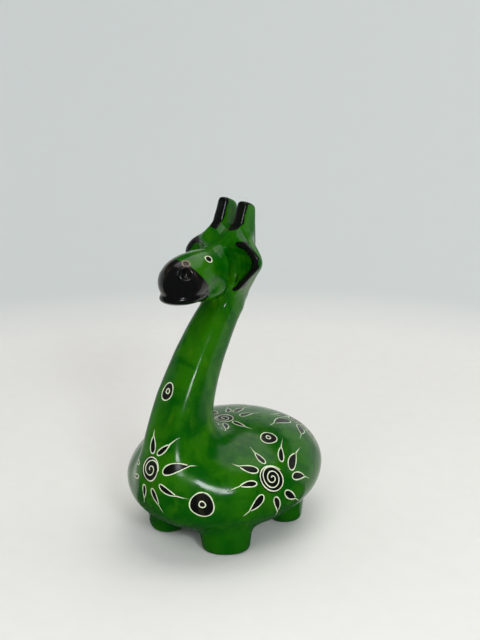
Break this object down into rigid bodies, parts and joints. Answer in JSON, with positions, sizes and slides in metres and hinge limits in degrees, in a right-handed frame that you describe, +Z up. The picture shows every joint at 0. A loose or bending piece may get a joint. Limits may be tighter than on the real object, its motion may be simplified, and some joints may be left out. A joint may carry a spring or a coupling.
{
  "type": "carved giraffe statue",
  "caption": "Small carved stone giraffe with a pebble-shaped body on stub feet, a tall curved neck, cupped ears, flat-topped horns and a blunt muzzle, dyed green and black.",
  "frame": {"origin": "on the floor, under the middle of the body's pebble", "axes": "+Z up; the giraffe faces -Y and its left side is at +X, the plane X = 0 being its middle plane"},
  "size_m": [0.083, 0.0986, 0.15],
  "materials": {
    "green_dyed_stone": "polished, waxed dye",
    "black_dyed_stone": "polished, waxed dye"
  },
  "bodies": {
    "root": {"body": "green_dyed_stone", "neck": "green_dyed_stone", "skull": "green_dyed_stone", "snout": "green_dyed_stone", "jaw": "green_dyed_stone", "muzzle": "black_dyed_stone", "lower_lip": "black_dyed_stone", "left_ear": "green_dyed_stone", "right_ear": "green_dyed_stone", "left_horn": "green_dyed_stone", "right_horn": "green_dyed_stone", "front_left_foot": "green_dyed_stone", "front_right_foot": "green_dyed_stone", "rear_left_foot": "green_dyed_stone", "rear_right_foot": "green_dyed_stone"}
  },
  "joints": []
}
